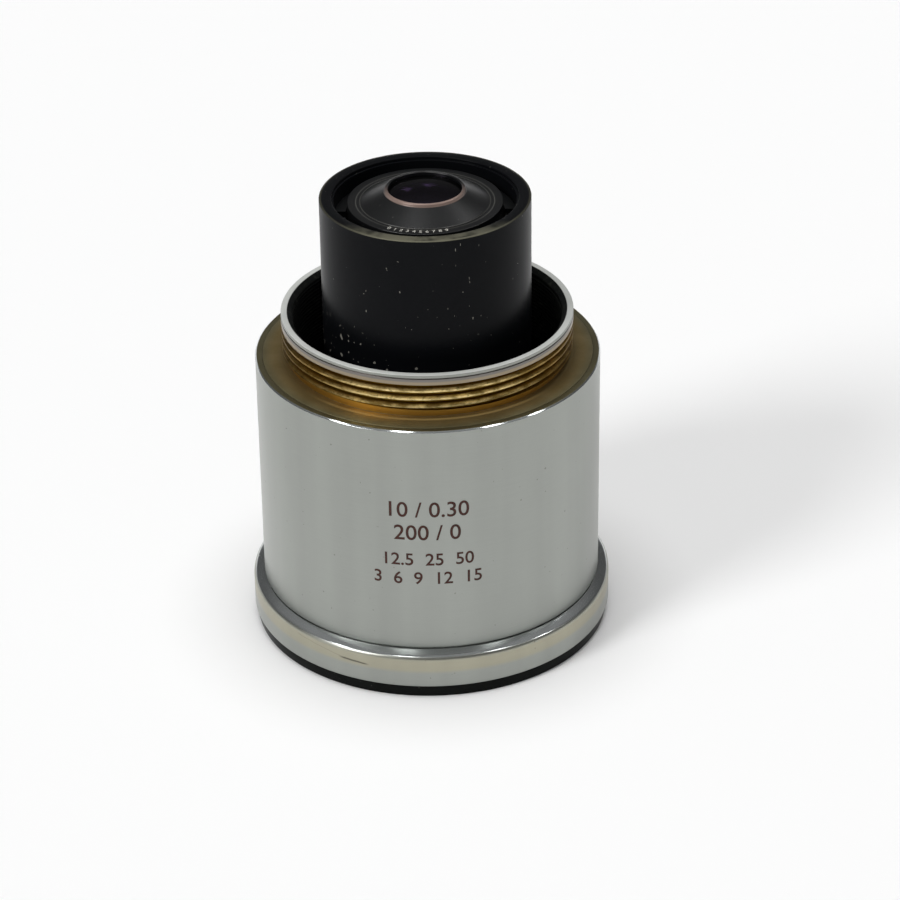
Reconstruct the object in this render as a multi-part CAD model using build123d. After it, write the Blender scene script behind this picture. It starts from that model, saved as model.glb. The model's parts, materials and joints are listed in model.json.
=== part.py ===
from build123d import *
import os

# A microscope objective for bright field and dark field, standing on its nose.
# Millimetres. The optical axis is Z, and the origin is the middle of the nose's flat face.
# A black lens tube stands in the middle of a wide outer case. Dark field light comes down the
# gap round the tube, past the three ribs that carry it, and out through a glass ring at the nose.

# Fits
fit = 0.02  # radial clearance between turned pieces that slide or screw together
cement = 0.02  # the cement between two lenses

# Radial steps outwards from the lens tube
tube_radius = 9.27
light_gap = 2.73  # from the tube to the collar's bore
collar_wall = 1.0  # from that bore to the outside of the mounting thread
shoulder_width = 1.75  # from the thread to the edge of the shoulder disc
shoulder_margin = 0.65  # width of the barrel's top face round the shoulder disc
flange_step = 0.99
bezel_inset = 0.25

# Outer barrel
barrel_wall = 1.1
barrel_length = 21.85
barrel_edge = 0.14  # chamfer on the barrel's top edge
barrel_seam = 0.08  # chamfer on its bottom edge
shoulder_thickness = 1.2
shoulder_proud = 0.03  # the shoulder stands this far above the barrel, so that it seats alone

# Thread collar
collar_height = 4.1  # from the shoulder to the lip
relief_width = 0.57  # run-out groove under the thread
relief_depth = 0.45
undercut_depth = 0.05  # the shoulder is cut back this much beside the run-out groove
undercut_step = 0.05  # and as far out as this beyond the thread
collar_bore_depth = 3.0  # the narrow bore goes this far below the shoulder
mouth_bevel = 0.45
lip_edge = 0.05

# Light channel below the collar
channel_step = 0.68  # width of the step that the spider rests against
spigot_wall = 0.8
spigot_end = 2.6  # height of the body's lower end

# Flange ring
flange_height = 3.47
flange_straight = 2.97  # height of its straight side, below the sloping shoulder
flange_round = 0.35
flange_edge = 0.08
seam_height = 0.12  # the groove between the flange and the barrel
seam_depth = 0.25
skirt_depth = 1.5  # counterbore for the bezel

# Front bezel
bezel_height = 1.18
bezel_edge = 0.12
bezel_skirt_wall = 0.88
bezel_lip = 0.48  # how far the bezel reaches in under the glass ring
bezel_lip_height = 0.85
bezel_bevel = 0.45
bezel_play = 0.08  # gap over the bezel's skirt

# Ring condenser, a glass ring with a domed top
condenser_land = 0.75  # flat margin of the glass inside its dome
condenser_margin = 0.15  # flat margin left bare outside the dome, beside the body's end
condenser_rise = 0.75
condenser_gap = 0.1  # round the nose cell

# Spider, which carries the lens tube
spider_seat = 11.8  # height of the step in the body that it rests against
spider_height = 3.0
spider_rim_wall = 0.9
hub_wall = 1.2
rib_count = 3
rib_width = 1.6
rib_inset = 0.5  # the ribs are this much lower than the rim on each side
rib_root = 0.4  # how far the ribs run into the rim and the hub
nut_height = 1.4
nut_wall = 1.0
slot_width = 1.2
slot_depth = 0.6

# Lens tube
tube_above_lip = 10.87
tube_wall = 1.67
rim_edge = 0.08
rim_width = 1.1
mouth_depth = 0.3
neck_wall = 1.27
tube_seat_width = 1.13
tube_seat_height = 1.2
shim_thickness = 0.2
tube_end = 5.0  # height of the tube's lower end
socket_wall = 1.07
socket_depth = 4.0
ledge_width = 0.6
ledge_height = 12.0

# Nose cell and front lens
nose_step = 0.38  # the nose cell is this much wider than the tube
nose_recess = 0.45  # and stays this far above what the objective stands on
nose_edge = 0.15
dish_width = 2.4
dish_depth = 0.5
front_lip = 0.3
front_lens_radius = 4.6
front_lens_lap = 0.5  # how far the cell and the retainer reach over the lens
front_lens_edge = 1.1
front_lens_rise = 1.0
front_ring_height = 0.8
nose_channel_step = 1.0
nose_channel_start = 4.2

# Middle cell and its cemented pair
middle_height = 7.0
middle_floor = 0.8
middle_wall = 1.56
pair_lap = 0.7
flint_edge = 2.4
crown_edge = 1.0
pair_inner_rise = 1.3
crown_rise = 0.9
pair_ring_height = 0.8

# Spacers and stop
spacer_wall = 0.8
front_spacer_length = 6.2
stop_thickness = 0.4
stop_hole = 3.4

# Rear cell and rear lens
rear_body_height = 4.2
rear_ring_height = 1.2
rear_ring_drop = 1.7  # from the tube's rim down to the screw ring
rear_ring_play = 0.2
boss_gap = 1.2  # between the boss and the tube's neck
face_drop = 0.5  # from the tube's rim down to the flat face of the cell
face_width = 1.1
cone_height = 1.0
bead_height = 0.3  # the rolled edge that holds the lens
bead_width = 0.3
bead_bevel = 0.2
rear_lens_radius = 3.58
rear_lens_edge = 1.4
rear_lens_rise = 0.4
rear_lens_sink = 0.2  # from the cone's top down to the edge of the lens
rear_lens_lap = 0.53  # how far the bead reaches over the lens
rear_seat = 0.5
rear_seat_lap = 0.58

# Radii worked out from the above
collar_bore = tube_radius + light_gap
thread_radius = collar_bore + collar_wall
shoulder_radius = thread_radius + shoulder_width
barrel_radius = shoulder_radius + shoulder_margin
barrel_bore = barrel_radius - barrel_wall
spigot_radius = barrel_bore - fit
spigot_bore = spigot_radius - spigot_wall
channel_bore = spigot_bore - channel_step
flange_radius = barrel_radius + flange_step
bezel_radius = flange_radius - bezel_inset
skirt_radius = spigot_radius + bezel_skirt_wall
bezel_opening = spigot_bore - bezel_lip
nose_radius = tube_radius + nose_step
tube_seat_radius = tube_radius + tube_seat_width
tube_bore = tube_radius - tube_wall
neck_radius = tube_radius - neck_wall
mouth_radius = tube_radius - rim_width
socket_radius = tube_radius - socket_wall
ledge_bore = tube_bore - ledge_width
cell_radius = tube_bore - fit  # outside of whatever slides into the tube's bore
front_clear = front_lens_radius - front_lens_lap
pair_radius = cell_radius - middle_wall - fit
pair_clear = pair_radius - pair_lap
boss_radius = neck_radius - boss_gap
rear_pocket = rear_lens_radius + fit
rear_clear = rear_lens_radius - rear_lens_lap

# Heights worked out from the above
barrel_bottom = bezel_height + flange_height
barrel_top = barrel_bottom + barrel_length
shoulder = barrel_top + shoulder_proud
lip = shoulder + collar_height
rim = lip + tube_above_lip
spider_bottom = spider_seat - spider_height
nut_bottom = spider_bottom - nut_height
seat_top = spider_bottom - shim_thickness
stop_bottom = ledge_height + middle_height + front_spacer_length
screw_ring_top = rim - rear_ring_drop
screw_ring_bottom = screw_ring_top - rear_ring_height
rear_cell_bottom = screw_ring_bottom - rear_body_height
rear_face = rim - face_drop
cone_tip = rear_face + cone_height


def turned(*corners):
    """One solid turned about the axis from (radius, height) corners. A third number is the
    corner's radius, or its chamfer where it is negative."""
    face = Plane.XZ * make_face(Polyline(*[(c[0], c[1]) for c in corners], close=True))
    for radius, height, soft in [c for c in corners if len(c) == 3]:
        corner = face.vertices().sort_by_distance((radius, 0, height))[0]
        face = fillet(corner, soft) if soft > 0 else chamfer(corner, -soft)
    return revolve(face, Axis.Z)


def ring(inner, outer, bottom, top):
    """A plain turned ring."""
    return turned((inner, bottom), (outer, bottom), (outer, top), (inner, top))


def slotted(piece, radius, face):
    """The piece with a spanner slot right across the flat face at this height."""
    return piece - Pos(0, 0, face) * Box(4 * radius, slot_width, 2 * slot_depth)


def lens(radius, clear, bottom, top, rise_below, rise_above):
    """A lens: an edge with flat lands, and a dome inside each. A negative rise is a hollow."""
    below, above = bottom - rise_below, top + rise_above
    outline = [
        Line((radius, bottom), (radius, top)),
        Line((radius, top), (clear, top)),
        Line((0, above), (0, below)),
        Line((clear, bottom), (radius, bottom)),
        surface(clear, top, above),
        surface(clear, bottom, below),
    ]
    return revolve(Plane.XZ * make_face(outline), Axis.Z)


def surface(clear, edge, middle):
    """Half of a lens surface in section, from the middle to the edge of its dome."""
    if middle == edge:
        return Line((0, middle), (clear, edge))
    return TangentArc((0, middle), (clear, edge), tangent=(1, 0))


def mount_body():
    """The brass body: the thread collar, the shoulder, and the spigot that the rest fits on."""
    narrow_end = shoulder - collar_bore_depth
    relief_radius = thread_radius - relief_depth
    undercut_radius = thread_radius + undercut_step
    return turned(
        (spigot_bore, spigot_end),
        (spigot_radius, spigot_end, -lip_edge),
        (spigot_radius, shoulder - shoulder_thickness),
        (shoulder_radius, shoulder - shoulder_thickness),
        (shoulder_radius, shoulder, -lip_edge),
        (undercut_radius, shoulder),
        (undercut_radius, shoulder - undercut_depth),
        (relief_radius, shoulder - undercut_depth),
        (relief_radius, shoulder + relief_width),
        (thread_radius, shoulder + relief_width, -lip_edge),
        (thread_radius, lip, -lip_edge),
        (collar_bore + mouth_bevel, lip),
        (collar_bore, lip - mouth_bevel),
        (collar_bore, narrow_end),
        (channel_bore, narrow_end - channel_bore + collar_bore),
        (channel_bore, spider_seat),
        (spigot_bore, spider_seat),
    )


def outer_barrel():
    """The chromed sleeve, held between the shoulder disc and the flange ring."""
    counterbore = shoulder_radius + fit
    return turned(
        (barrel_bore, barrel_bottom),
        (barrel_radius, barrel_bottom, -barrel_seam),
        (barrel_radius, barrel_top, -barrel_edge),
        (counterbore, barrel_top),
        (counterbore, shoulder - shoulder_thickness),
        (barrel_bore, shoulder - shoulder_thickness),
    )


def flange_ring():
    """The chromed flange, screwed on the body under the barrel."""
    skirt_top = bezel_height + skirt_depth
    return turned(
        (skirt_radius + fit, bezel_height),
        (flange_radius, bezel_height, -flange_edge),
        (flange_radius, bezel_height + flange_straight, flange_round),
        (barrel_radius, barrel_bottom - seam_height),
        (barrel_radius - seam_depth, barrel_bottom - seam_height),
        (barrel_radius - seam_depth, barrel_bottom),
        (barrel_bore, barrel_bottom),
        (barrel_bore, skirt_top),
        (skirt_radius + fit, skirt_top),
    )


def front_bezel():
    """The black ring that the objective stands on. Its skirt screws up inside the flange."""
    skirt_top = bezel_height + skirt_depth - bezel_play
    return turned(
        (bezel_opening + bezel_bevel, 0),
        (bezel_radius, 0, -bezel_edge),
        (bezel_radius, bezel_height, -bezel_edge),
        (skirt_radius, bezel_height),
        (skirt_radius, skirt_top),
        (spigot_radius + fit, skirt_top),
        (spigot_radius + fit, bezel_lip_height),
        (bezel_opening, bezel_lip_height),
        (bezel_opening, bezel_bevel),
    )


def ring_condenser():
    """The glass ring that bends the dark field light inwards."""
    inner, outer = nose_radius + condenser_gap, spigot_radius
    crown = spigot_end + condenser_rise
    low, high = inner + condenser_land, spigot_bore - condenser_margin
    outline = [
        Polyline((low, spigot_end), (inner, spigot_end), (inner, bezel_lip_height)),
        Polyline((inner, bezel_lip_height), (outer, bezel_lip_height), (outer, spigot_end)),
        Line((outer, spigot_end), (high, spigot_end)),
        ThreePointArc((high, spigot_end), ((low + high) / 2, crown), (low, spigot_end)),
    ]
    return revolve(Plane.XZ * make_face(outline), Axis.Z)


def spider():
    """A rim in the body and a hub round the lens tube, joined by ribs."""
    rim_outer = spigot_bore - fit
    rim_inner = rim_outer - spider_rim_wall
    hub_inner = tube_radius + fit
    hub_outer = hub_inner + hub_wall
    body = ring(rim_inner, rim_outer, spider_bottom, spider_seat)
    body += ring(hub_inner, hub_outer, spider_bottom, spider_seat)
    middle = (hub_outer + rim_inner) / 2
    reach = rim_inner - hub_outer + 2 * rib_root
    rib = Box(reach, rib_width, spider_height - 2 * rib_inset)
    height = (spider_bottom + spider_seat) / 2
    for turn in range(rib_count):
        body += Rot(0, 0, 360 / rib_count * turn - 90) * Pos(middle, 0, height) * rib
    return body


def spider_nut():
    """The slotted ring that clamps the spider against its step."""
    outer = spigot_bore - fit
    nut = ring(outer - nut_wall, outer, nut_bottom, spider_bottom)
    return slotted(nut, outer, nut_bottom)


def lens_tube():
    """The black tube that holds all the lenses of the bright field."""
    return turned(
        (socket_radius, tube_end),
        (tube_radius, tube_end),
        (tube_radius, seat_top - tube_seat_height),
        (tube_seat_radius, seat_top - tube_seat_height),
        (tube_seat_radius, seat_top),
        (tube_radius, seat_top),
        (tube_radius, rim, -rim_edge),
        (mouth_radius, rim, -rim_edge),
        (mouth_radius, rim - mouth_depth),
        (neck_radius, rim - mouth_depth),
        (neck_radius, screw_ring_bottom),
        (tube_bore, screw_ring_bottom),
        (tube_bore, ledge_height),
        (ledge_bore, ledge_height),
        (ledge_bore, tube_end + socket_depth),
        (socket_radius, tube_end + socket_depth),
    )


def parfocal_shim():
    """The thin ring that sets how far the lens tube reaches down."""
    return ring(tube_radius + fit, tube_seat_radius, seat_top, spider_bottom)


def tube_lock_ring():
    """The slotted ring that clamps the tube to the spider's hub from above."""
    inner = tube_radius + fit
    top = spider_seat + nut_height
    return slotted(ring(inner, inner + hub_wall, spider_seat, top), inner, top)


def nose_cell():
    """The cell of the front lens, with a dished black face."""
    dish_bottom = nose_recess + dish_depth
    lens_floor = dish_bottom + front_lip
    spigot = socket_radius - fit
    nose_channel = front_lens_radius + nose_channel_step
    return turned(
        (front_clear, dish_bottom),
        (front_clear + dish_width, nose_recess),
        (nose_radius, nose_recess, -nose_edge),
        (nose_radius, tube_end),
        (spigot, tube_end),
        (spigot, tube_end + socket_depth),
        (nose_channel, tube_end + socket_depth),
        (nose_channel, nose_channel_start),
        (front_lens_radius + fit, nose_channel_start),
        (front_lens_radius + fit, lens_floor),
        (front_clear, lens_floor),
    )


def front_lens():
    """Flat outside, domed inside."""
    floor = nose_recess + dish_depth + front_lip
    clear = front_clear - fit
    top = floor + front_lens_edge
    return lens(front_lens_radius, clear, floor, top, 0, front_lens_rise)


def front_lens_retainer():
    """The slotted ring behind the front lens."""
    bottom = nose_recess + dish_depth + front_lip + front_lens_edge
    top = bottom + front_ring_height
    return slotted(ring(front_clear, front_lens_radius, bottom, top), front_lens_radius, top)


def middle_cell():
    """The cell of the cemented pair, on the ledge in the tube."""
    floor = ledge_height + middle_floor
    return turned(
        (pair_clear, ledge_height),
        (cell_radius, ledge_height),
        (cell_radius, ledge_height + middle_height),
        (pair_radius + fit, ledge_height + middle_height),
        (pair_radius + fit, floor),
        (pair_clear, floor),
    )


def flint_lens():
    """Lower lens of the pair: flat below, hollow above."""
    floor = ledge_height + middle_floor
    top = floor + flint_edge
    return lens(pair_radius, pair_clear, floor, top, 0, -pair_inner_rise)


def crown_lens():
    """Upper lens of the pair, domed on both sides."""
    bottom = ledge_height + middle_floor + flint_edge + cement
    top = bottom + crown_edge
    return lens(pair_radius, pair_clear, bottom, top, pair_inner_rise, crown_rise)


def doublet_retainer():
    """The slotted ring over the cemented pair."""
    bottom = ledge_height + middle_floor + flint_edge + cement + crown_edge
    top = bottom + pair_ring_height
    return slotted(ring(pair_clear, pair_radius, bottom, top), pair_radius, top)


def front_spacer():
    """The tube between the middle cell and the stop."""
    bottom = ledge_height + middle_height
    return ring(cell_radius - spacer_wall, cell_radius, bottom, stop_bottom)


def aperture_stop():
    """The thin disc that sets the aperture. Its hole is bevelled to a fine edge."""
    top = stop_bottom + stop_thickness
    return turned(
        (stop_hole, stop_bottom),
        (cell_radius, stop_bottom),
        (cell_radius, top),
        (stop_hole + stop_thickness, top),
        (stop_hole, stop_bottom + stop_thickness / 4),
    )


def rear_spacer():
    """The tube between the stop and the rear cell."""
    bottom = stop_bottom + stop_thickness
    return ring(cell_radius - spacer_wall, cell_radius, bottom, rear_cell_bottom)


def rear_cell():
    """The cell of the rear lens: flange, boss, flat ring, cone and rolled bead."""
    lens_edge_top = cone_tip - rear_lens_sink
    lens_floor = lens_edge_top - rear_lens_edge
    seat_bottom = lens_floor - rear_seat
    seat_bore = rear_lens_radius - rear_seat_lap
    return turned(
        (cell_radius - spacer_wall, rear_cell_bottom),
        (cell_radius, rear_cell_bottom),
        (cell_radius, screw_ring_bottom),
        (boss_radius, screw_ring_bottom),
        (boss_radius, rear_face),
        (boss_radius - face_width, rear_face),
        (rear_pocket, cone_tip),
        (rear_pocket - bead_width, cone_tip + bead_height),
        (rear_clear, cone_tip + bead_height - bead_bevel),
        (rear_clear, lens_edge_top),
        (rear_pocket, lens_edge_top),
        (rear_pocket, lens_floor),
        (seat_bore, lens_floor),
        (seat_bore, seat_bottom),
    )


def rear_lens():
    """The lens that shows at the top, held by the rolled bead."""
    top = cone_tip - rear_lens_sink
    bottom = top - rear_lens_edge
    return lens(rear_lens_radius, rear_clear - fit, bottom, top, rear_lens_rise, rear_lens_rise)


def rear_retainer():
    """The slotted screw ring round the rear cell."""
    inner, outer = boss_radius + rear_ring_play, neck_radius - fit
    screw_ring = ring(inner, outer, screw_ring_bottom, screw_ring_top)
    return slotted(screw_ring, outer, screw_ring_top)


pieces = [
    mount_body,
    outer_barrel,
    flange_ring,
    front_bezel,
    ring_condenser,
    spider,
    spider_nut,
    lens_tube,
    parfocal_shim,
    tube_lock_ring,
    nose_cell,
    front_lens,
    front_lens_retainer,
    middle_cell,
    flint_lens,
    crown_lens,
    doublet_retainer,
    front_spacer,
    aperture_stop,
    rear_spacer,
    rear_cell,
    rear_lens,
    rear_retainer,
]

os.makedirs("parts", exist_ok=True)
for piece in pieces:
    export_step(piece(), f"parts/{piece.__name__}.step")
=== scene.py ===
import json
import math

import bmesh
import bpy
from mathutils import Matrix, Vector


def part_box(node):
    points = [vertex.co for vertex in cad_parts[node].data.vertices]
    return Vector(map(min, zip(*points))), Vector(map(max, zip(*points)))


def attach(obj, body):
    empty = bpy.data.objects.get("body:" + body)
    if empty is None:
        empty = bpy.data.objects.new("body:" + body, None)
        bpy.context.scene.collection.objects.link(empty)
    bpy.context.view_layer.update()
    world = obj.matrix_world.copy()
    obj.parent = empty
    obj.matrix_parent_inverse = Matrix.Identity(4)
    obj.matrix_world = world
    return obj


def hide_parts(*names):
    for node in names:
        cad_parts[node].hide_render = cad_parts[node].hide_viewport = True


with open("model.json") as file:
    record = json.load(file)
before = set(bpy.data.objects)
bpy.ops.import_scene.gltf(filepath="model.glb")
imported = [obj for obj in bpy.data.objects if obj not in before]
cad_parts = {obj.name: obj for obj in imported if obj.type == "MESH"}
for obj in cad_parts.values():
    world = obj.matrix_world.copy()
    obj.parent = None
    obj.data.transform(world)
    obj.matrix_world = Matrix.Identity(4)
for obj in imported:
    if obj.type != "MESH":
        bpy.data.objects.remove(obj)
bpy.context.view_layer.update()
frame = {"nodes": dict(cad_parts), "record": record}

# A microscope objective, standing on its nose. The optical axis is Z.
mm = 0.001


def span(node):
    """A turned node's outer radius, bottom and top, in millimetres."""
    low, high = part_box(node)
    return high.x / mm, low.z / mm, high.z / mm


# Outlines that the frame gives, in millimetres
barrel_radius, barrel_bottom, barrel_top = span("outer_barrel")
flange_radius, flange_bottom, flange_top = span("flange_ring")
bezel_radius, _, skirt_top = span("front_bezel")
shoulder_radius, spigot_end, lip = span("mount_body")
tube_seat_radius, tube_end, rim = span("lens_tube")
spigot_radius, glass_bottom, glass_top = span("ring_condenser")
nose_radius, nose_face, nose_top = span("nose_cell")
front_lens_radius, front_lens_bottom, front_lens_top = span("front_lens")
cell_radius, rear_cell_bottom, bead_top = span("rear_cell")
rear_lens_radius, rear_lens_bottom, rear_lens_top = span("rear_lens")
_, spider_seat, _ = span("tube_lock_ring")
neck_radius, screw_ring_bottom, _ = span("rear_retainer")
thread_radius = frame["record"]["mounts"][0]["dims"]["r_mm"]

# Steps in a full turn
turned_steps = 240
wide_steps = 288
lens_steps = 120
wound_steps = 180

# Steps in a curve, and the angle in degrees from which an edge is sharp
dome_steps = 24
crown_steps = 16
round_steps = 4
letter_steps = 6
sharp_angle = 28

# Fits and rounds
fit = 0.02
hair_edge = 0.02
thin_edge = 0.03
fine_edge = 0.04
blunt_edge = 0.08

# Barrel and shoulder
barrel_bore = spigot_radius + fit
barrel_edge = 0.13
shoulder_rise = 0.03
shoulder = barrel_top + shoulder_rise
shoulder_thickness = 1.2
shoulder_foot = shoulder - shoulder_thickness
undercut = 0.05
undercut_radius = thread_radius + undercut
collar_bore = 12.0
narrow_length = 3.0
narrow_end = shoulder - narrow_length
channel_bore = 12.8
spigot_bore = 13.48
mouth_bevel = 0.45
mouth = collar_bore + mouth_bevel
lip_round = 0.07

# Mounting thread
pitch = 0.75
thread_root = thread_radius - 0.45
thread_crest = thread_radius - 0.03
crest_width = 0.16
root_width = 0.1
run_out = 0.57
thread_start = shoulder + run_out
thread_end = 29.5
thread_turns = 6
thread_phase = 0.29  # lifts the ridge so that its grooves cross the front at the right heights
ridge_overlap = 0.15
land_radius = thread_crest + 0.01
land_cone = 0.2
land_groove = 30.3
land_groove_width = 0.1
land_groove_depth = 0.1
baffle_pitch = 0.36
baffle_depth = 0.07
baffle_root = 0.05
baffle_start = 0.3
baffle_stop = 0.2

# Flange and bezel
flange_side = 4.15
flange_round = 0.35
seam_height = 0.12
seam_depth = 0.25
skirt_clearance = 0.08
bezel_height = 1.18
bezel_round = 0.12
skirt_radius = 15.16
bezel_opening = 13.0
bezel_bevel = 0.45
bezel_lip = 0.85

# Lens tube
tube_radius = 9.27
tube_bore = 7.6
tube_seat = 8.6
tube_seat_height = 1.2
rim_edge = 0.08
rim_inner = 8.17
rim_depth = 0.3
socket_radius = 8.2
socket_top = 9.0
ledge_bore = 7.0
ledge = 12.0

# Glass ring
crown_gap = 0.1
crown_land = 0.75
crown_margin = 0.15

# Nose cell
dish_radius = 6.5
dish_depth = 0.5
front_clear = 4.1
front_floor = 1.25
front_lens_edge = 1.1
nose_round = 0.15
dish_round = 0.05
nose_shelf = 5.0
nose_channel = 5.6
nose_channel_start = 4.2

# Rear cell
boss_radius = 6.8
boss_round = 0.05
cell_wall = 0.8
rear_face = 41.0
face_inner = 5.7
face_groove = 0.04
groove_half = 0.05
cone_tip = 42.0
cone_top = 3.6
rear_clear = 3.05
bead_side = 0.06
bead_width = 0.08
bead_round = 0.05
bead_under = 42.2
bead_seat = 41.9
bead_inner = 3.25
rear_floor = 40.4
rear_seat_bore = 3.0
rear_seat_bottom = 39.9

# Plain numbers: text, size and height of each row on the barrel, then the digits on the rear ring
engraved_rows = [
    ("10 / 0.30", 2.1, 18.7),
    ("200 / 0", 2.1, 16.4),
    ("12.5  25  50", 1.7, 13.7),
    ("3  6  9  12  15", 1.7, 11.8),
]
engraved_turn = -0.02
engraved_depth = 0.02
engraved_boldness = 0.018
engraved_proud = 0.004
ring_number_size = 0.62
ring_number_depth = 0.01
ring_number_boldness = 0.006
ring_number_proud = 0.005
ring_number_start = -30
ring_number_step = 5.2

# Marks on the surfaces: (x, z) ends of the scratch, then heights, radii and places along Y
# The first two heights bound a painted warm reflection in a band round the flange
reflected_warm_bottom, reflected_warm_top = 2.7, 4.0
scratch_start, scratch_end, scratch_width = (-12.1, 3.75), (-6.1, 2.95), 0.035
wedge_start, wedge_end, wedge_width = (-8.2, 3.15), (-5.9, 3.0), 0.15
scratch_waver = 0.3
land_grey = 30.0
# Radii between which the shoulder turns greyer olive
grey_olive_inner, grey_olive_outer = 13.6, 15.0
dusty_top, dusty_bottom = 32.5, 30.5
face_line = 0.36
face_line_half = 0.04
# Where the thread's paler front, partly a painted highlight, gives way to the tarnished sides
glint_and_tarnish_front, glint_and_tarnish_back = -11.5, -6.0
# Where the painted reflection of the thread in the shoulder fades out towards the back
crest_reflection_back, crest_reflection_front = -7.0, -12.5
wear_back, wear_front = -5.0, -9.0
# Where the painted highlight on the front of the bead fades out
bead_glint_back, bead_glint_front = 1.0, -2.6

# Studio: lengths in metres, angles in degrees, sky heights from 0 at the horizon to 1 overhead
floor_size = 3
floor_white = (0.94, 0.94, 0.94, 1.0)
sky_dim, sky_top = 0.08, 0.28
top_start, top_end = 0.45, 0.85
horizon_end, horizon_start = 0.2, 0.06

# Suns: name, strength, angular size, place, and whether polished metal shows them
suns = [
    ("key", 1.35, 18, (-0.79, -0.61, 0.69), True),
    ("overhead", 1.83, 44, (0.0, 0.0, 1.0), False),
]

# Lamps: their places are multiplied by the distance
lamp_size = 0.085
lamp_glow = 9.0
lamp_distance = 0.5
lamp_places = {
    "lamp_left": (-0.84, -0.26, 1.0),
    "lamp_front": (-0.24, -0.53, 1.0),
    "lamp_right": (0.57, -0.42, 1.0),
    "lamp_far_right": (1.03, -0.09, 1.0),
    "lamp_back": (-0.09, 0.36, 1.0),
    "lamp_back_right": (0.39, 0.6, 1.0),
}

# Camera: focal length, sensor and place in millimetres, angles in degrees
focal_length, sensor_width = 131.28, 36
camera_place = (0, -259.6, 162.7)
camera_yaw, camera_down, camera_roll = 0.412, 29.469, -0.791
nearest_seen = 0.01


def arc(start, end, rise):
    """Points from start to end along a shallow arc that stands rise above their chord."""
    (r1, z1), (r2, z2) = start, end
    away = Vector((z1 - z2, r2 - r1)).normalized()
    points = []
    for step in range(crown_steps + 1):
        along = step / crown_steps
        swell = 4 * rise * along * (1 - along)
        points.append((r1 + (r2 - r1) * along + away.x * swell, z1 + (z2 - z1) * along + away.y * swell))
    return points


def dome(clear, edge, top):
    """Points of a lens surface in section, from its edge to the axis."""
    rise = top - edge
    ball = (clear ** 2 + rise ** 2) / (2 * rise)
    sweep = math.asin(clear / abs(ball))
    turns = [sweep * (1 - step / dome_steps) for step in range(dome_steps + 1)]
    return [(abs(ball) * math.sin(turn), top - ball + ball * math.cos(turn)) for turn in turns]


def placed(name, data):
    """A new object in the scene."""
    made = bpy.data.objects.new(name, data)
    bpy.context.scene.collection.objects.link(made)
    return made


def piece(mesh, name, finish, slot, *nodes):
    """A finished mesh as a piece of the object, in place of the named nodes."""
    data = bpy.data.meshes.new(name)
    mesh.to_mesh(data)
    mesh.free()
    data.shade_smooth()
    data.set_sharp_from_angle(angle=math.radians(sharp_angle))
    data.materials.append(finish)
    made = placed(name, data)
    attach(made, "root")
    if nodes:
        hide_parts(*nodes)


def spun(corners, steps=turned_steps):
    """A closed outline of (radius, height) corners turned once round the axis. A corner's third
    number is the width of its round."""
    mesh = bmesh.new()
    verts = [mesh.verts.new((corner[0] * mm, 0, corner[1] * mm)) for corner in corners]
    edges = [mesh.edges.new(pair) for pair in zip(verts, verts[1:] + verts[:1])]
    bmesh.ops.spin(
        mesh, geom=verts + edges, cent=(0, 0, 0), axis=(0, 0, 1), angle=math.tau, steps=steps,
        use_merge=True,
    )
    bmesh.ops.remove_doubles(mesh, verts=mesh.verts, dist=1e-8)
    for radius, height, width in [corner for corner in corners if len(corner) == 3]:
        ring = [edge for edge in mesh.edges if all(lies_at(vert, radius, height) for vert in edge.verts)]
        bmesh.ops.bevel(
            mesh, geom=ring, offset=width * mm, segments=round_steps, profile=0.5, affect="EDGES",
            material=-1,
        )
    bmesh.ops.recalc_face_normals(mesh, faces=mesh.faces)
    return mesh


def lies_at(vert, radius, height):
    """Whether a vertex is on the circle of this radius and height."""
    gap = math.hypot(vert.co.xy.length / mm - radius, vert.co.z / mm - height)
    return gap < 1e-3


def wound(profile, start, end, lead, turns):
    """A ridge of this (radius, height) profile wound up the axis, cut off flat at both heights."""
    mesh = bmesh.new()
    verts = [mesh.verts.new((radius * mm, 0, height * mm)) for radius, height in profile]
    edges = [mesh.edges.new(pair) for pair in zip(verts, verts[1:] + verts[:1])]
    bmesh.ops.spin(
        mesh, geom=verts + edges, cent=(0, 0, 0), axis=(0, 0, 1), dvec=(0, 0, lead * mm / wound_steps),
        angle=math.tau * turns, steps=wound_steps * turns,
    )
    close(mesh)
    for height, way in ((start, -1), (end, 1)):
        bmesh.ops.bisect_plane(
            mesh, geom=mesh.verts[:] + mesh.edges[:] + mesh.faces[:], dist=1e-9,
            plane_co=(0, 0, height * mm), plane_no=(0, 0, way), clear_outer=True,
        )
        close(mesh)
    bmesh.ops.recalc_face_normals(mesh, faces=mesh.faces)
    return mesh


def close(mesh):
    """Merge the double points of a ridge and close its open ends."""
    bmesh.ops.remove_doubles(mesh, verts=mesh.verts, dist=1e-9)
    rims = [edge for edge in mesh.edges if edge.is_boundary]
    bmesh.ops.holes_fill(mesh, edges=rims, sides=0)


class Number:
    """A number that varies over a surface."""

    def __init__(self, nodes, socket):
        self.nodes = nodes
        self.socket = socket

    def combine(self, operation, first, second):
        return self.nodes.node("ShaderNodeMath", {"operation": operation}, {0: first, 1: second})[0]

    def __add__(self, other):
        return self.combine("ADD", self, other)

    def __radd__(self, other):
        return self.combine("ADD", other, self)

    def __sub__(self, other):
        return self.combine("SUBTRACT", self, other)

    def __rsub__(self, other):
        return self.combine("SUBTRACT", other, self)

    def __mul__(self, other):
        return self.combine("MULTIPLY", self, other)

    def __rmul__(self, other):
        return self.combine("MULTIPLY", other, self)


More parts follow.
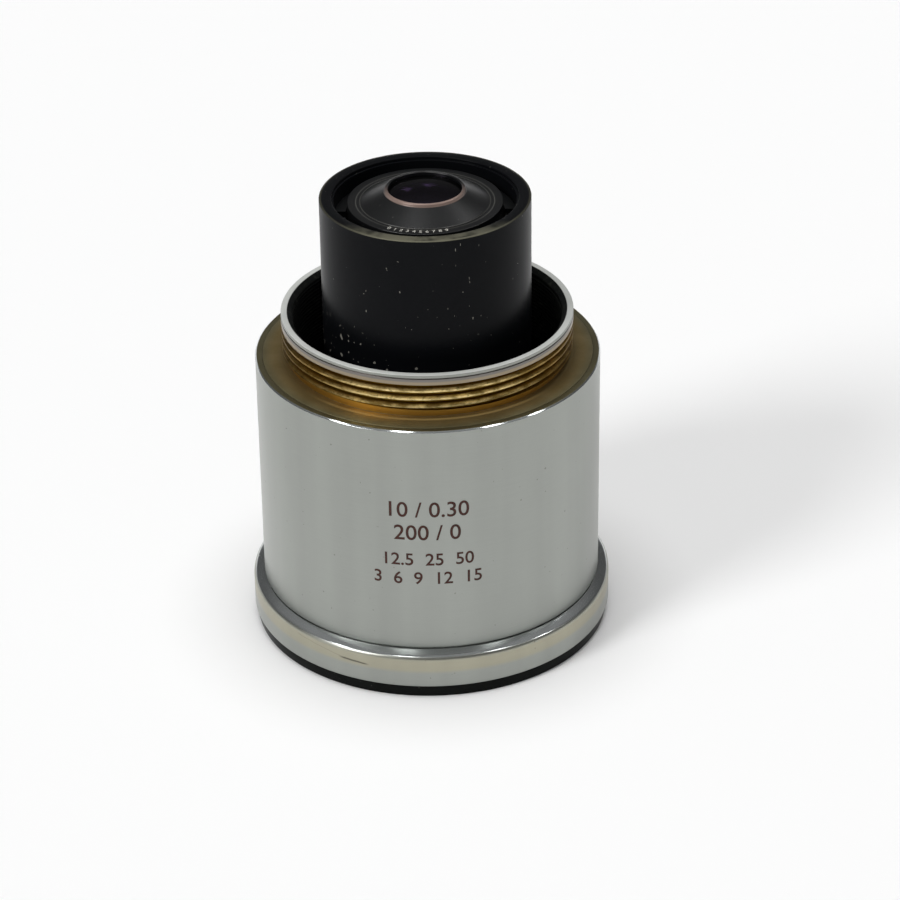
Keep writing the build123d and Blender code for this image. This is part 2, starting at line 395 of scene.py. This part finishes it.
class Nodes:
    """A tree of shader nodes."""

    def __init__(self, owner):
        owner.use_nodes = True
        self.tree = owner.node_tree
        self.tree.nodes.clear()

    def node(self, kind, settings=None, sockets=None):
        """A node's usable outputs, once its settings and then its sockets are set."""
        made = self.tree.nodes.new(kind)
        for name, value in (settings or {}).items():
            setattr(made, name, value)
        usable = [socket for socket in made.inputs if socket.enabled]
        for name, value in (sockets or {}).items():
            socket = usable[name] if isinstance(name, int) else next(s for s in usable if s.name == name)
            if isinstance(value, Number):
                self.tree.links.new(value.socket, socket)
            else:
                socket.default_value = value
        return [Number(self, socket) for socket in made.outputs if socket.enabled]

    def larger(self, first, second):
        """The larger of two numbers."""
        return self.node("ShaderNodeMath", {"operation": "MAXIMUM"}, {0: first, 1: second})[0]

    def ramp(self, value, low, high):
        """0 where the value is under low, 1 where it is over high, and smooth between."""
        settings = {"interpolation_type": "SMOOTHSTEP"}
        sockets = {"Value": value, "From Min": low, "From Max": high}
        if low > high:
            sockets = {"Value": value, "From Min": high, "From Max": low, "To Min": 1.0, "To Max": 0.0}
        return self.node("ShaderNodeMapRange", settings, sockets)[0]


class Paint(Nodes):
    """A material under construction: its shader, and the place on the surface in millimetres."""

    def __init__(self, name, **constants):
        self.material = bpy.data.materials.new(name)
        super().__init__(self.material)
        self.shader = self.tree.nodes.new("ShaderNodeBsdfPrincipled")
        output = self.tree.nodes.new("ShaderNodeOutputMaterial")
        self.tree.links.new(self.shader.outputs["BSDF"], output.inputs["Surface"])
        for socket, value in constants.items():
            self.shader.inputs[socket.replace("_", " ")].default_value = value
        point = self.node("ShaderNodeTexCoord")[3]
        self.place = self.node(
            "ShaderNodeVectorMath", {"operation": "SCALE"}, {"Vector": point, "Scale": 1 / mm}
        )[0]
        self.x, self.y, self.z = self.node("ShaderNodeSeparateXYZ", None, {"Vector": self.place})
        self.radius = self.node(
            "ShaderNodeMath", {"operation": "SQRT"}, {0: self.x * self.x + self.y * self.y}
        )[0]

    def noise(self, grain, detail):
        """Noise from 0 to 1 with this many grains to the millimetre along X, Y and Z."""
        stretched = self.node(
            "ShaderNodeVectorMath", {"operation": "MULTIPLY"}, {0: self.place, 1: grain}
        )[0]
        sockets = {"Vector": stretched, "Scale": 1.0, "Detail": detail, "Roughness": 0.55}
        return self.node("ShaderNodeTexNoise", None, sockets)[0]

    def band(self, value, low, high, soft):
        """1 between low and high, 0 outside."""
        return self.ramp(value, low - soft, low + soft) * self.ramp(value, high + soft, high - soft)

    def mix(self, factor, first, second):
        """One colour turning into another."""
        settings = {"data_type": "RGBA"}
        return self.node("ShaderNodeMix", settings, {"Factor": factor, "A": first, "B": second})[0]

    def shade(self, colour, factor):
        """A colour made lighter or darker by a number near 1."""
        sockets = {"Vector": colour, "Scale": factor}
        return self.node("ShaderNodeVectorMath", {"operation": "SCALE"}, sockets)[0]

    def bump(self, height, depth):
        """Relief of this many millimetres where the height goes from 0 to 1."""
        sockets = {"Strength": 1.0, "Distance": depth * mm, "Height": height}
        return self.node("ShaderNodeBump", None, sockets)[0]

    def set(self, **links):
        """Feed the shader's sockets and give back the material."""
        for name, value in links.items():
            self.tree.links.new(value.socket, self.shader.inputs[name.replace("_", " ")])
        return self.material


def shown(red, green, blue):
    """A colour as it is seen, 0 to 255, as the linear colour that a shader takes."""
    def straight(value):
        value /= 255
        return value / 12.92 if value < 0.04045 else ((value + 0.055) / 1.055) ** 2.4
    return (straight(red), straight(green), straight(blue), 1.0)


def satin_chrome():
    """Satin chrome plate: faint turning marks, mottling, dust, a scratch, a painted warm reflection
    band on the flange, polished edges and a dull end face on the barrel."""
    paint = Paint("satin_chrome", Specular_IOR_Level=0.5)
    turning = paint.noise((0.25, 0.25, 22.0), 2.0)
    cloud = paint.noise((0.3, 0.3, 0.3), 3.0)
    upright = paint.noise((0.28, 0.28, 0.015), 2.0)
    grain = paint.noise((9.0, 9.0, 9.0), 2.0)
    dust = paint.ramp(paint.noise((2.6, 2.6, 2.6), 1.0), 0.77, 0.8)
    # Painted reflection: a warm tint in a band round the flange
    painted_warm_reflection = paint.band(paint.z, reflected_warm_bottom, reflected_warm_top, 0.25) * 0.55
    edge = paint.band(paint.z, barrel_top - barrel_edge, barrel_top + 1, 0.03)
    slope = paint.band(paint.z, flange_side + 0.02, flange_top - seam_height, 0.03)
    polished = paint.larger(edge, slope)
    line = hairline(paint, scratch_start, scratch_end, scratch_width)
    wedge = hairline(paint, wedge_start, wedge_end, wedge_width)
    scratch = paint.larger(line * 0.6, wedge)
    colour = paint.mix(painted_warm_reflection, shown(160, 163, 158), shown(178, 170, 142))
    colour = paint.mix(polished, colour, shown(196, 200, 200))
    colour = paint.shade(colour, 0.75 + 0.08 * turning + 0.06 * cloud + 0.24 * upright)
    end_face = paint.ramp(paint.z, barrel_top - 0.02, barrel_top - 0.005)
    colour = paint.mix(end_face, colour, paint.mix(cloud, shown(104, 98, 72), shown(132, 126, 96)))
    colour = paint.mix(dust * 0.5, colour, shown(96, 92, 86))
    colour = paint.mix(scratch * 0.75, colour, shown(60, 58, 54))
    rough = 0.27 + 0.08 * turning + 0.05 * cloud - 0.24 * polished + 0.2 * dust + 0.34 * end_face
    metal = 0.92 - 0.3 * dust
    relief = turning * 0.6 + grain * 0.4 - scratch * 2.0
    return paint.set(Base_Color=colour, Roughness=rough, Metallic=metal, Normal=paint.bump(relief, 0.0016))


def hairline(paint, start, end, width):
    """A thin scratch across the front, between two (x, z) places."""
    (x1, z1), (x2, z2) = start, end
    slope = (z2 - z1) / (x2 - x1)
    waver = paint.noise((0.5, 0.5, 0.5), 1.0)
    off = paint.z - (z1 - slope * x1) - slope * paint.x + (waver - 0.5) * scratch_waver
    line = paint.band(off, -width / 2, width / 2, width / 3)
    front = paint.ramp(paint.y, -1, -2)
    return line * paint.band(paint.x, x1, x2, 0.3) * front


def turned_brass():
    """Bare brass: silvery lip, gold thread, brown shoulder, and black paint in the bore."""
    paint = Paint("turned_brass", Specular_IOR_Level=0.2)
    turning = paint.noise((0.25, 0.25, 24.0), 2.0)
    cloud = paint.noise((0.45, 0.45, 0.45), 4.0)
    streaks = paint.noise((0.55, 0.55, 1.6), 4.0)
    fine = paint.noise((3.0, 3.0, 5.0), 3.0)
    grime = paint.noise((2.0, 2.0, 2.0), 4.0)
    height = paint.z
    crest = paint.ramp(paint.radius, thread_root + 0.12, thread_crest - 0.03)
    # Paler gold on the thread's front and darker gold at the sides: partly tarnish, partly a painted
    # highlight on the front
    tarnish_and_shaded_sides = paint.ramp(paint.y + 3.0 * cloud, glint_and_tarnish_front, glint_and_tarnish_back)
    bright = paint.mix(tarnish_and_shaded_sides, shown(240, 218, 156), shown(156, 126, 66))
    # Painted shade: the roots and flanks between the thread's crests are painted dark brown
    gold = paint.mix(crest, shown(92, 66, 14), bright)
    gold = paint.mix(paint.ramp(streaks, 0.4, 0.62) * 0.8, gold, shown(104, 80, 26))
    gold = paint.mix(paint.ramp(fine, 0.5, 0.7) * 0.5, gold, shown(70, 52, 14))
    orange = paint.band(height, shoulder - 0.03, thread_start, 0.04)
    gold = paint.mix(orange, gold, shown(184, 140, 62))
    pink = paint.ramp(height, thread_end - 0.05, thread_end + 0.1)
    collar = paint.mix(pink, gold, shown(150, 138, 118))
    grey = paint.ramp(height, land_grey - 0.1, land_grey + 0.1)
    collar = paint.mix(grey, collar, shown(122, 118, 114))
    silver = paint.ramp(height, land_groove, land_groove + 0.05)
    collar = paint.mix(silver, collar, shown(148, 150, 144))
    brown = paint.ramp(height, shoulder - 0.01, shoulder - 0.02)
    brown = paint.larger(brown, paint.ramp(paint.radius, thread_radius + 0.03, thread_radius + 0.06))
    olive = paint.mix(cloud, shown(120, 102, 60), shown(142, 126, 88))
    collar = paint.mix(brown, collar, olive)
    # The shoulder turns greyer olive towards its outer edge
    outer = paint.ramp(paint.radius, grey_olive_inner, grey_olive_outer)
    collar = paint.mix(outer * brown, collar, paint.mix(cloud, shown(98, 92, 66), shown(124, 118, 90)))
    # Painted reflection: a lighter ring on the shoulder beside the thread, the thread's crests mirrored
    # there, on the front only
    step = paint.band(paint.radius, thread_radius + 0.08, thread_radius + 0.4, 0.06) * brown
    step = step * paint.ramp(paint.y, crest_reflection_back, crest_reflection_front)
    collar = paint.mix(step * 0.8, collar, shown(158, 134, 84))
    lip_face = paint.ramp(height, lip - 0.04, lip - 0.01)
    collar = paint.mix(lip_face, collar, shown(206, 208, 204))
    colour = paint.shade(collar, 0.8 + 0.25 * turning + 0.15 * cloud)
    bore = paint.ramp(paint.radius, mouth + 0.01, mouth - 0.05)
    under = paint.ramp(height, shoulder_foot, shoulder_foot - 0.1)
    black = paint.larger(bore, under)
    sooty = paint.mix(paint.ramp(grime, 0.5, 0.72), shown(4, 6, 5), shown(34, 36, 30))
    colour = paint.mix(black, colour, sooty)
    rough = 0.22 + 0.1 * turning + 0.12 * brown + 0.3 * black + 0.25 * lip_face + 0.15 * fine
    metal = paint.larger(0.95 - 0.2 * brown - 0.35 * step - 0.95 * black - 0.6 * lip_face, 0.0)
    relief = turning * 0.5 + grime * 0.3 + fine * 0.3
    return paint.set(Base_Color=colour, Roughness=rough, Metallic=metal, Normal=paint.bump(relief, 0.003))


def satin_black():
    """Thin satin black paint with dust on it, worn pale along the rim."""
    paint = Paint("satin_black", Specular_IOR_Level=0.07)
    grain = paint.noise((14.0, 14.0, 14.0), 2.0)
    turning = paint.noise((0.3, 0.3, 16.0), 2.0)
    cloud = paint.noise((0.35, 0.35, 0.35), 3.0)
    dust = paint.ramp(paint.noise((3.4, 3.4, 3.4), 1.0), 0.785, 0.81)
    lint = paint.ramp(paint.noise((7.0, 7.0, 2.0), 0.0), 0.86, 0.89)
    low = paint.ramp(paint.z, dusty_top, dusty_bottom)
    crumbs = paint.ramp(paint.noise((2.5, 2.5, 2.2), 0.0) - 0.008 * paint.x, 0.82, 0.84) * low
    flecks = paint.larger(paint.larger(dust, lint), crumbs)
    front = paint.ramp(paint.y, wear_back, wear_front)
    top = paint.ramp(paint.z, rim - 0.09, rim - 0.04)
    outline = paint.band(paint.radius, tube_radius - 0.2, tube_radius, 0.04) * (0.25 + 0.75 * front)
    patch = paint.band(paint.radius, rim_inner, tube_radius, 0.03) * front * paint.ramp(cloud, 0.35, 0.6)
    worn = paint.larger(outline * (0.4 + 0.6 * cloud), patch * 0.75) * top
    colour = paint.mix(cloud, shown(8, 9, 12), shown(15, 16, 18))
    colour = paint.mix(worn, colour, shown(128, 126, 108))
    colour = paint.mix(flecks * 0.85, colour, shown(134, 132, 124))
    rough = 0.24 + 0.1 * grain + 0.06 * turning + 0.2 * flecks
    metal = 0.4 * worn
    relief = grain * 0.6 + turning * 0.4 + flecks * 2.0
    return paint.set(Base_Color=colour, Roughness=rough, Metallic=metal, Normal=paint.bump(relief, 0.0016))


def gloss_black():
    """Glossy black enamel with a few pale specks."""
    paint = Paint("gloss_black", Specular_IOR_Level=0.06, Coat_Roughness=0.08)
    cloud = paint.noise((0.5, 0.5, 0.5), 3.0)
    orange_peel = paint.noise((5.0, 5.0, 5.0), 2.0)
    specks = paint.ramp(paint.noise((3.0, 3.0, 3.0), 1.0), 0.77, 0.8)
    colour = paint.mix(cloud, shown(7, 9, 8), shown(13, 15, 13))
    colour = paint.mix(specks * 0.5, colour, shown(92, 92, 88))
    rough = 0.16 + 0.1 * cloud + 0.3 * specks
    return paint.set(
        Base_Color=colour, Roughness=rough, Coat_Weight=0.05 * cloud, Normal=paint.bump(orange_peel, 0.002)
    )


def matt_black():
    """Matt black inside surfaces."""
    paint = Paint("matt_black", Specular_IOR_Level=0.3)
    grain = paint.noise((10.0, 10.0, 10.0), 3.0)
    cloud = paint.noise((0.6, 0.6, 0.6), 3.0)
    turning = paint.noise((0.3, 0.3, 12.0), 2.0)
    colour = paint.mix(cloud, shown(12, 13, 13), shown(24, 24, 23))
    rough = 0.6 + 0.15 * grain
    relief = grain * 0.5 + turning * 0.5
    return paint.set(Base_Color=colour, Roughness=rough, Normal=paint.bump(relief, 0.004))


def ground_steel():
    """Plain ground steel of the thin shim."""
    paint = Paint("ground_steel", Specular_IOR_Level=0.5)
    grain = paint.noise((6.0, 6.0, 18.0), 3.0)
    cloud = paint.noise((0.5, 0.5, 0.5), 3.0)
    colour = paint.mix(cloud, shown(138, 139, 140), shown(164, 165, 166))
    return paint.set(
        Base_Color=colour, Roughness=0.28 + 0.14 * grain, Metallic=0.9 + 0.1 * cloud,
        Normal=paint.bump(grain, 0.002),
    )


def rear_black():
    """Satin black of the end cells, with paler lines on the flat ring and a painted highlight on the front
    of the bead.
    """
    paint = Paint("rear_black", Specular_IOR_Level=0.5)
    grain = paint.noise((12.0, 12.0, 12.0), 2.0)
    cloud = paint.noise((0.6, 0.6, 0.6), 3.0)
    turning = paint.noise((2.0, 2.0, 14.0), 2.0)
    dust = paint.ramp(paint.noise((4.0, 4.0, 4.0), 1.0), 0.77, 0.8)
    up = paint.ramp(paint.z, rear_face - 0.1, rear_face - 0.02)
    middle = face_inner + face_line
    outer_line = paint.band(paint.radius, middle - face_line_half, middle + face_line_half, 0.02) * up
    inner_line = paint.band(paint.radius, face_inner - face_line_half, face_inner + groove_half, 0.02) * up
    bead = paint.ramp(paint.z, cone_tip - 0.02, cone_tip + 0.05)
    # Painted highlight: the bead is pale only on its front
    bead = bead * paint.ramp(paint.y, bead_glint_back, bead_glint_front)
    lines = outer_line * 0.8 + inner_line * 0.7
    colour = paint.mix(cloud, shown(9, 10, 11), shown(16, 17, 18))
    colour = paint.mix(lines, colour, shown(84, 84, 80))
    colour = paint.mix(bead * 0.85, colour, shown(150, 128, 118))
    colour = paint.mix(dust * 0.5, colour, shown(110, 108, 104))
    rough = 0.25 + 0.08 * grain + 0.06 * cloud
    metal = bead * 0.3 + lines * 0.2
    relief = grain * 0.5 + turning * 0.5 + dust
    return paint.set(Base_Color=colour, Roughness=rough, Metallic=metal, Normal=paint.bump(relief, 0.002))


def clear_glass():
    """Polished glass with the faintest smears."""
    paint = Paint("clear_glass", IOR=1.52, Transmission_Weight=1.0)
    smear = paint.noise((0.8, 0.8, 0.8), 3.0)
    colour = paint.mix(smear, shown(236, 242, 240), shown(250, 252, 251))
    return paint.set(Base_Color=colour, Roughness=0.02 + 0.05 * smear, Normal=paint.bump(smear, 0.001))


def coated_glass():
    """Lens glass with a dark violet bloom over it."""
    violet = (0.72, 0.5, 0.9, 1.0)
    paint = Paint("coated_glass", IOR=1.3, Transmission_Weight=1.0, Specular_Tint=violet)
    smear = paint.noise((1.2, 1.2, 1.2), 3.0)
    dust = paint.ramp(paint.noise((5.0, 5.0, 5.0), 1.0), 0.8, 0.83)
    colour = paint.mix(smear, shown(88, 76, 104), shown(104, 92, 120))
    colour = paint.mix(dust * 0.4, colour, shown(190, 186, 190))
    return paint.set(Base_Color=colour, Roughness=0.03 + 0.06 * smear, Normal=paint.bump(smear, 0.0008))


def engraving_ink():
    """Dark brown filling of the engraved numbers, a little uneven."""
    paint = Paint("engraving_ink", Specular_IOR_Level=0.3)
    patches = paint.noise((5.0, 5.0, 5.0), 3.0)
    colour = paint.mix(patches, shown(22, 16, 14), shown(84, 44, 34))
    return paint.set(Base_Color=colour, Roughness=0.5 + 0.2 * patches, Normal=paint.bump(patches, 0.004))


def white_marks():
    """Off-white filling of the small numbers on the rear ring."""
    paint = Paint("white_marks", Specular_IOR_Level=0.3)
    patches = paint.noise((6.0, 6.0, 6.0), 3.0)
    colour = paint.mix(patches, shown(150, 148, 140), shown(205, 203, 196))
    return paint.set(Base_Color=colour, Roughness=0.5 + 0.2 * patches, Normal=paint.bump(patches, 0.003))


chrome = satin_chrome()
brass = turned_brass()
tube_black = satin_black()
enamel = gloss_black()
inner_black = matt_black()
steel = ground_steel()
cell_black = rear_black()
glass = clear_glass()
bloomed_glass = coated_glass()
ink = engraving_ink()
marks = white_marks()


def mount_body():
    """The brass body: cut back beside the thread, a cone where the thread runs out, and a fine
    groove under the lip."""
    half = land_groove_width / 2
    groove_floor = land_radius - land_groove_depth
    body = spun([
        (spigot_bore, spigot_end),
        (spigot_radius, spigot_end, fine_edge),
        (spigot_radius, shoulder_foot),
        (shoulder_radius, shoulder_foot),
        (shoulder_radius, shoulder, fine_edge),
        (undercut_radius, shoulder, hair_edge),
        (undercut_radius, shoulder - undercut),
        (thread_root, shoulder - undercut, hair_edge),
        (thread_root, thread_end),
        (land_radius, thread_end + land_cone),
        (land_radius, land_groove - half, hair_edge),
        (groove_floor, land_groove - half),
        (groove_floor, land_groove + half),
        (land_radius, land_groove + half, hair_edge),
        (land_radius, lip, lip_round),
        (mouth, lip, thin_edge),
        (collar_bore, lip - mouth_bevel, thin_edge),
        (collar_bore, narrow_end),
        (channel_bore, narrow_end - channel_bore + collar_bore),
        (channel_bore, spider_seat),
        (spigot_bore, spider_seat),
    ])
    piece(body, "brass_body", brass, "bare_brass", "mount_body")


def mounting_thread():
    """The ridge of the mounting thread, cut off square at the run-out groove."""
    foot = thread_start - 2 * pitch + thread_phase
    inside = thread_root - root_width
    flank = (pitch - crest_width - root_width) / 2
    top = foot + root_width / 2 + flank
    ridge = wound([
        (inside, foot + root_width / 2),
        (thread_root, foot + root_width / 2),
        (thread_crest, top),
        (thread_crest, top + crest_width),
        (thread_root, foot + pitch - root_width / 2),
        (inside, foot + pitch - root_width / 2),
    ], thread_start, thread_end + ridge_overlap, pitch, thread_turns)
    piece(ridge, "thread_ridge", brass, "bare_brass")


def bore_baffle():
    """A fine ridge wound up the collar's bore, against stray light."""
    bottom, top = narrow_end + baffle_start, lip - mouth_bevel - baffle_stop
    turns = math.ceil((top - bottom) / baffle_pitch) + 1
    ridge = wound([
        (collar_bore + baffle_root, bottom - baffle_pitch + baffle_root),
        (collar_bore - baffle_depth, bottom - baffle_pitch / 2),
        (collar_bore + baffle_root, bottom - baffle_root),
    ], bottom, top, baffle_pitch, turns)
    piece(ridge, "bore_baffle", brass, "matt_black")


def outer_barrel():
    """The chromed sleeve."""
    counterbore = shoulder_radius + fit
    sleeve = spun([
        (barrel_bore, barrel_bottom),
        (barrel_radius, barrel_bottom, blunt_edge),
        (barrel_radius, barrel_top - barrel_edge, hair_edge),
        (barrel_radius - barrel_edge, barrel_top, hair_edge),
        (counterbore, barrel_top, hair_edge),
        (counterbore, shoulder_foot),
        (barrel_bore, shoulder_foot),
    ], wide_steps)
    piece(sleeve, "chrome_barrel", chrome, "satin_chrome", "outer_barrel")


def flange_ring():
    """The chromed flange with its sloping shoulder and the fine groove under the barrel."""
    ring = spun([
        (skirt_radius + fit, flange_bottom),
        (flange_radius, flange_bottom, blunt_edge),
        (flange_radius, flange_side, flange_round),
        (barrel_radius, barrel_bottom - seam_height, thin_edge),
        (barrel_radius - seam_depth, barrel_bottom - seam_height),
        (barrel_radius - seam_depth, barrel_bottom),
        (barrel_bore, barrel_bottom),
        (barrel_bore, skirt_top + skirt_clearance),
        (skirt_radius + fit, skirt_top + skirt_clearance),
    ], wide_steps)
    piece(ring, "chrome_flange", chrome, "satin_chrome", "flange_ring")


def front_bezel():
    """The black ring that the objective stands on."""
    ring = spun([
        (bezel_opening + bezel_bevel, 0, thin_edge),
        (bezel_radius, 0, bezel_round),
        (bezel_radius, bezel_height, bezel_round),
        (skirt_radius, bezel_height),
        (skirt_radius, skirt_top),
        (spigot_radius + fit, skirt_top),
        (spigot_radius + fit, bezel_lip),
        (bezel_opening, bezel_lip),
        (bezel_opening, bezel_bevel, thin_edge),
    ], wide_steps)
    piece(ring, "black_bezel", enamel, "gloss_black", "front_bezel")


def ring_condenser():
    """The glass ring, domed on top."""
    inner = nose_radius + crown_gap
    low, high = inner + crown_land, spigot_bore - crown_margin
    crown = glass_top - spigot_end
    outline = [(inner, spigot_end), (inner, glass_bottom), (spigot_radius, glass_bottom)]
    outline.append((spigot_radius, spigot_end))
    outline += arc((high, spigot_end), (low, spigot_end), -crown)
    piece(spun(outline), "glass_ring", glass, "clear_glass", "ring_condenser")


def lens_tube():
    """The black tube in the middle."""
    tube = spun([
        (socket_radius, tube_end),
        (tube_radius, tube_end, fine_edge),
        (tube_radius, tube_seat - tube_seat_height),
        (tube_seat_radius, tube_seat - tube_seat_height),
        (tube_seat_radius, tube_seat),
        (tube_radius, tube_seat),
        (tube_radius, rim, rim_edge),
        (rim_inner, rim, rim_edge),
        (rim_inner, rim - rim_depth, hair_edge),
        (neck_radius + fit, rim - rim_depth, hair_edge),
        (neck_radius + fit, screw_ring_bottom),
        (tube_bore, screw_ring_bottom),
        (tube_bore, ledge),
        (ledge_bore, ledge),
        (ledge_bore, socket_top),
        (socket_radius, socket_top),
    ])
    piece(tube, "black_tube", tube_black, "satin_black", "lens_tube")


def nose_cell():
    """The dished cell of the front lens."""
    spigot = socket_radius - fit
    pocket = front_lens_radius + fit
    cell = spun([
        (front_clear, nose_face + dish_depth, thin_edge),
        (dish_radius, nose_face, dish_round),
        (nose_radius, nose_face, nose_round),
        (nose_radius, nose_shelf),
        (spigot, nose_shelf),
        (spigot, nose_top),
        (nose_channel, nose_top),
        (nose_channel, nose_channel_start),
        (pocket, nose_channel_start),
        (pocket, front_floor),
        (front_clear, front_floor),
    ])
    piece(cell, "nose_cell_face", cell_black, "satin_black", "nose_cell")


def front_lens():
    """The lens that faces the specimen: flat outside, domed inside."""
    clear = front_clear - fit
    edge_top = front_lens_bottom + front_lens_edge
    outline = [(0, front_lens_bottom), (front_lens_radius, front_lens_bottom, thin_edge)]
    outline += [(front_lens_radius, edge_top)] + dome(clear, edge_top, front_lens_top)
    piece(spun(outline, lens_steps), "front_lens_glass", bloomed_glass, "coated_glass", "front_lens")


def rear_cell():
    """The cell at the top: boss, flat ring, cone and the rolled bead over the lens."""
    cell = spun([
        (cell_radius - cell_wall, rear_cell_bottom),
        (cell_radius, rear_cell_bottom),
        (cell_radius, screw_ring_bottom),
        (boss_radius, screw_ring_bottom),
        (boss_radius, rear_face, boss_round),
        (face_inner + groove_half, rear_face, hair_edge),
        (face_inner, rear_face - face_groove),
        (face_inner - groove_half, rear_face + hair_edge, hair_edge),
        (cone_top, cone_tip, bead_round),
        (cone_top - bead_width, bead_top - bead_side, bead_round),
        (bead_inner + bead_width, bead_top, bead_round),
        (bead_inner, bead_under),
        (bead_inner, bead_seat),
        (rear_lens_radius, bead_seat),
        (cone_top, rear_floor),
        (rear_seat_bore, rear_floor),
        (rear_seat_bore, rear_seat_bottom),
    ])
    piece(cell, "rear_cell_cone", cell_black, "satin_black", "rear_cell")


def rear_lens():
    """The lens that shows at the top."""
    below = dome(rear_clear - fit, rear_floor, rear_lens_bottom)
    above = dome(bead_inner - fit, bead_seat - fit, rear_lens_top)
    side = rear_lens_radius - fit
    outline = below[::-1] + [(side, rear_floor), (side, bead_seat - fit)] + above
    piece(spun(outline, lens_steps), "rear_lens_glass", bloomed_glass, "coated_glass", "rear_lens")


def flat_numbers(name, text, size, depth, boldness):
    """Plain numbers as a thin flat mesh round the origin."""
    curve = bpy.data.curves.new(name, "FONT")
    curve.body = text
    curve.align_x = "CENTER"
    curve.align_y = "CENTER"
    curve.size = size * mm
    curve.extrude = depth / 2 * mm
    curve.offset = boldness * mm
    curve.resolution_u = letter_steps
    holder = bpy.data.objects.new(name, curve)
    flat = bpy.data.meshes.new_from_object(holder)
    bpy.data.objects.remove(holder)
    mesh = bmesh.new()
    mesh.from_mesh(flat)
    bpy.data.meshes.remove(flat)
    bmesh.ops.remove_doubles(mesh, verts=mesh.verts, dist=1e-8)
    return mesh


def barrel_numbers():
    """Rows of plain engraved numbers on the front of the barrel."""
    for row, (text, size, height) in enumerate(engraved_rows):
        mesh = flat_numbers("engraved_numbers", text, size, engraved_depth, engraved_boldness)
        for vert in mesh.verts:
            azimuth = engraved_turn + vert.co.x / (barrel_radius * mm)
            radius = (barrel_radius + engraved_proud) * mm + vert.co.z
            vert.co = (radius * math.sin(azimuth), -radius * math.cos(azimuth), vert.co.y + height * mm)
        bmesh.ops.recalc_face_normals(mesh, faces=mesh.faces)
        piece(mesh, f"engraved_numbers_{row + 1}", ink, "matt_black")


def ring_numbers():
    """Small pale numbers on the flat ring at the top."""
    middle = (boss_radius + face_inner) / 2
    for digit in range(10):
        mesh = flat_numbers(
            "ring_numbers", str(digit), ring_number_size, ring_number_depth, ring_number_boldness
        )
        azimuth = math.radians(ring_number_start + ring_number_step * digit)
        forward = Matrix.Translation((0, -middle * mm, (rear_face + ring_number_proud) * mm))
        bmesh.ops.transform(mesh, matrix=Matrix.Rotation(azimuth, 4, "Z") @ forward, verts=mesh.verts)
        bmesh.ops.recalc_face_normals(mesh, faces=mesh.faces)
        piece(mesh, f"ring_number_{digit}", marks, "satin_chrome")


for build in (
    mount_body, mounting_thread, bore_baffle, outer_barrel, flange_ring, front_bezel, ring_condenser,
    lens_tube, nose_cell, front_lens, rear_cell, rear_lens, barrel_numbers, ring_numbers,
):
    build()

kept_finish = {
    "spider": inner_black,
    "spider_nut": inner_black,
    "tube_lock_ring": inner_black,
    "parfocal_shim": steel,
    "front_lens_retainer": inner_black,
    "middle_cell": inner_black,
    "flint_lens": glass,
    "crown_lens": glass,
    "doublet_retainer": inner_black,
    "front_spacer": inner_black,
    "aperture_stop": inner_black,
    "rear_spacer": inner_black,
    "rear_retainer": cell_black,
}
for node, finish in kept_finish.items():
    for slot in frame["nodes"][node].material_slots:
        slot.material = finish


def aim(light, place):
    """A light that stands at a place, turned to the object."""
    holder = placed(light.name, light)
    holder.location = place
    holder.rotation_euler = Vector(place).to_track_quat("Z", "Y").to_euler()
    return holder


def studio():
    """A white floor, a sky that is white low down and dim above, a soft key light from the left,
    even light from overhead, and small lamps that show in polished edges."""
    floor_mesh = bmesh.new()
    bmesh.ops.create_grid(floor_mesh, x_segments=1, y_segments=1, size=floor_size)
    data = bpy.data.meshes.new("floor")
    floor_mesh.to_mesh(data)
    floor_mesh.free()
    floor = placed("floor", data)
    white = bpy.data.materials.new("white_floor")
    white.use_nodes = True
    shader = white.node_tree.nodes["Principled BSDF"]
    shader.inputs["Base Color"].default_value = floor_white
    shader.inputs["Roughness"].default_value = 0.9
    shader.inputs["Specular IOR Level"].default_value = 0.0
    data.materials.append(white)

    world = bpy.data.worlds.new("surroundings")
    bpy.context.scene.world = world
    sky = Nodes(world)
    direction = sky.node("ShaderNodeTexCoord")[0]
    climb = sky.node("ShaderNodeSeparateXYZ", None, {"Vector": direction})[2]
    above = (sky_top - sky_dim) * sky.ramp(climb, top_start, top_end)
    strength = sky_dim + above + (1 - sky_dim) * sky.ramp(climb, horizon_end, horizon_start)
    light = {"Color": (1.0, 1.0, 1.0, 1.0), "Strength": strength}
    background = sky.node("ShaderNodeBackground", None, light)[0]
    sky.node("ShaderNodeOutputWorld", None, {"Surface": background})

    for name, energy, angle, place, shows in suns:
        sun = bpy.data.lights.new(name, "SUN")
        sun.energy = energy
        sun.angle = math.radians(angle)
        aim(sun, place).visible_glossy = shows
    for name, spot in lamp_places.items():
        lamp = bpy.data.lights.new(name, "AREA")
        lamp.size = lamp_size
        lamp.energy = lamp_glow * math.pi * lamp_size ** 2
        aim(lamp, Vector(spot) * lamp_distance).visible_diffuse = False


def camera():
    """The photograph's view: from the front, about thirty degrees above the floor."""
    lens = bpy.data.cameras.new("camera")
    lens.lens = focal_length
    lens.sensor_width = sensor_width
    lens.clip_start = nearest_seen
    viewer = placed("camera", lens)
    yaw = Matrix.Rotation(-math.radians(camera_yaw), 4, "Z")
    tilt = Matrix.Rotation(math.radians(90 - camera_down), 4, "X")
    roll = Matrix.Rotation(math.radians(camera_roll), 4, "Z")
    viewer.matrix_world = Matrix.Translation(Vector(camera_place) * mm) @ yaw @ tilt @ roll
    bpy.context.scene.camera = viewer


studio()
camera()
bpy.context.scene.view_settings.view_transform = "Standard"
